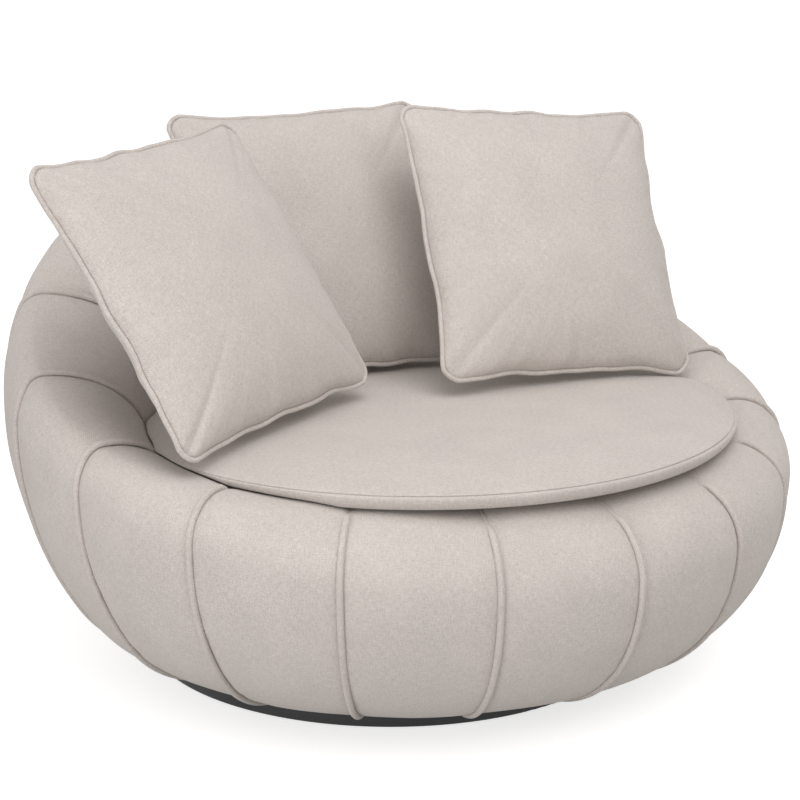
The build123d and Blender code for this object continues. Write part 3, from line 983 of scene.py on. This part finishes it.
def plywood(name):
    grain_stretch, ply_scale = (6, 90, 90), 55.0
    m = Nodes(name)
    spot = m.object_space()
    grain = m.noise(m.scaled(spot, grain_stretch), 1.0, 5.0, 0.6)
    bands = {"Vector": spot, "Scale": ply_scale, "Distortion": 1.5, "Detail": 2.0}
    plies = m.add("ShaderNodeTexWave", bands, bands_direction="Z").outputs["Fac"]
    tone = m.math("MULTIPLY_ADD", grain, 0.75, m.math("MULTIPLY", plies, 0.25))
    stops = [(0.25, linear(172, 134, 92)), (0.5, linear(205, 170, 125)), (0.75, linear(222, 192, 150))]
    m.set(Base_Color=m.ramp(tone, stops), Roughness=m.math("MULTIPLY_ADD", grain, 0.3, 0.5))
    m.set(Specular_IOR_Level=0.3)
    m.bump(grain, 0.3, 0.0006)
    return m.material


def mottled(name, dark, light, scale, rough, metal, depth):
    """Plain hard finish with a fine grain in its colour, gloss and surface."""
    m = Nodes(name)
    spot = m.object_space()
    grain = m.noise(spot, scale, 4.0, 0.6)
    scuff = m.noise(spot, scale / 12, 3.0, 0.6)
    tone = m.math("MULTIPLY_ADD", grain, 0.5, m.math("MULTIPLY", scuff, 0.5))
    m.set(Base_Color=m.ramp(tone, [(0.3, dark), (0.7, light)]), Metallic=metal)
    m.set(Roughness=m.math("MULTIPLY_ADD", scuff, 0.18, rough - 0.08))
    m.bump(grain, 0.25, depth)
    return m.material


def foamy(name):
    cell_scale, mottle_scale = 900.0, 25.0
    m = Nodes(name)
    spot = m.object_space()
    cells = m.add("ShaderNodeTexVoronoi", {"Vector": spot, "Scale": cell_scale}).outputs["Distance"]
    mottle = m.noise(spot, mottle_scale, 3.0)
    colour = m.ramp(mottle, [(0.3, linear(226, 214, 176)), (0.7, linear(238, 228, 196))])
    m.set(Base_Color=colour, Roughness=0.95, Specular_IOR_Level=0.15)
    m.bump(cells, 0.5, 0.0008)
    return m.material


def dress(names, material):
    for name in names:
        slots = nodes[name].data.materials
        slots.clear()
        slots.append(material)


def dress_frame():
    """Finishes of the solids that stay in sight when the chair is lifted, turned or opened."""
    steel = mottled("zinc_steel", linear(150, 152, 155), linear(188, 190, 192), 600.0, 0.32, 1.0, 0.00005)
    nylon = mottled("black_nylon", linear(40, 40, 41), linear(58, 58, 60), 500.0, 0.5, 0.0, 0.0001)
    paint = mottled("black_paint", linear(10, 10, 11), linear(22, 22, 23), 700.0, 0.45, 0.0, 0.0002)
    dress(["frame_bottom_board", "frame_ribs", "frame_rim_rails", "seat_deck_ring"], plywood("birch_ply"))
    dress(["lower_bearing_plate", "upper_bearing_plate", "bearing_balls"], steel)
    dress(["lower_plate_screws", "upper_plate_bolts"], steel)
    dress(["base_glides", "ball_cage"], nylon)
    dress(["base_plinth"], paint)


# Stage

def seen_directly(tree):
    """1 for rays from the camera, also by way of gloss or glass, and 0 for the rest."""
    path = tree.nodes.new("ShaderNodeLightPath")
    seen = path.outputs["Is Camera Ray"]
    for way in ("Is Glossy Ray", "Is Transmission Ray"):
        either = tree.nodes.new("ShaderNodeMath")
        either.operation = "MAXIMUM"
        tree.links.new(seen, either.inputs[0])
        tree.links.new(path.outputs[way], either.inputs[1])
        seen = either.outputs[0]
    return seen


def make_floor():
    """Wide pale floor that keeps the chair's shadow and is white away from it."""
    mesh = bpy.data.meshes.new("floor")
    corners = [(-floor_half, -floor_half, 0), (floor_half, -floor_half, 0),
               (floor_half, floor_half, 0), (-floor_half, floor_half, 0)]
    mesh.from_pydata(corners, [], [(0, 1, 2, 3)])
    floor = bpy.data.objects.new("floor", mesh)
    scene.collection.objects.link(floor)
    m = Nodes("floor_white")
    fine_scale, fine_change = 40.0, 0.01
    fine = m.noise(m.object_space(), fine_scale, 2.0)
    shades = [(0.3, grey(floor_shade - fine_change)), (0.7, grey(floor_shade + fine_change))]
    m.set(Base_Color=m.ramp(fine, shades))
    m.set(Roughness=0.9, Specular_IOR_Level=0.0, Emission_Color=(1, 1, 1, 1))
    m.set(Emission_Strength=m.math("MULTIPLY", seen_directly(m.tree), floor_glow))
    mesh.materials.append(m.material)


def lamp(name, location, power, size):
    light = bpy.data.lights.new(name, "AREA")
    light.energy = power
    light.size = size
    lamp_object = bpy.data.objects.new(name, light)
    scene.collection.objects.link(lamp_object)
    lamp_object.location = location
    aim = camera_target - Vector(location)
    lamp_object.rotation_euler = aim.to_track_quat("-Z", "Y").to_euler()


def make_light():
    world = bpy.data.worlds.new("studio")
    scene.world = world
    world.use_nodes = True
    tree = world.node_tree
    back = tree.nodes["Background"]
    seen = seen_directly(tree)
    colour = tree.nodes.new("ShaderNodeMix")
    colour.data_type = "RGBA"
    colour.inputs["A"].default_value = (*world_tint, 1)
    colour.inputs["B"].default_value = (1, 1, 1, 1)
    tree.links.new(seen, colour.inputs["Factor"])
    tree.links.new(colour.outputs["Result"], back.inputs["Color"])
    strength = tree.nodes.new("ShaderNodeMapRange")
    strength.inputs["To Min"].default_value = world_light
    strength.inputs["To Max"].default_value = 1.0
    tree.links.new(seen, strength.inputs["Value"])
    tree.links.new(strength.outputs[0], back.inputs["Strength"])
    for name, (location, power, size) in lamps.items():
        lamp(name, location, power, size)


def make_camera():
    data = bpy.data.cameras.new("camera")
    camera = bpy.data.objects.new("camera", data)
    scene.collection.objects.link(camera)
    az, el = radians(camera_azimuth), radians(camera_elevation)
    away = Vector((sin(az) * cos(el), -cos(az) * cos(el), sin(el)))
    camera.location = camera_target + camera_distance * away
    camera.rotation_euler = (-away).to_track_quat("-Z", "Y").to_euler()
    data.sensor_width = sensor_width
    data.lens = focal_pixels * sensor_width / image_side
    data.shift_x = (image_side / 2 - centre_pixel[0]) / image_side
    data.shift_y = (centre_pixel[1] - image_side / 2) / image_side
    data.clip_end = 4 * floor_half
    scene.camera = camera


linen = woven("greige_linen", linear(219, 212, 207), linear(190, 182, 176), 0.0014, 0.9, 0.2, 0.0004, 0.14)
black_cloth = woven("black_felt", linear(48, 47, 46), linear(26, 26, 26), 0.0011, 0.95, 0.1, 0.0003, 0.2)
elastic = woven("elastic_webbing", linear(70, 62, 54), linear(40, 36, 32), 0.0022, 0.8, 0.1, 0.0006, 0.2)
make_camera()
make_body(linen, foamy("cream_foam"))
make_welts(linen)
make_seat(linen)
for seed, pillow in enumerate(pillow_places, 1):
    make_pillow(pillow, seed, linen)
make_deck(elastic, black_cloth)
make_dust_cover(black_cloth)
dress_frame()
make_floor()
make_light()
scene.view_settings.view_transform = "Standard"
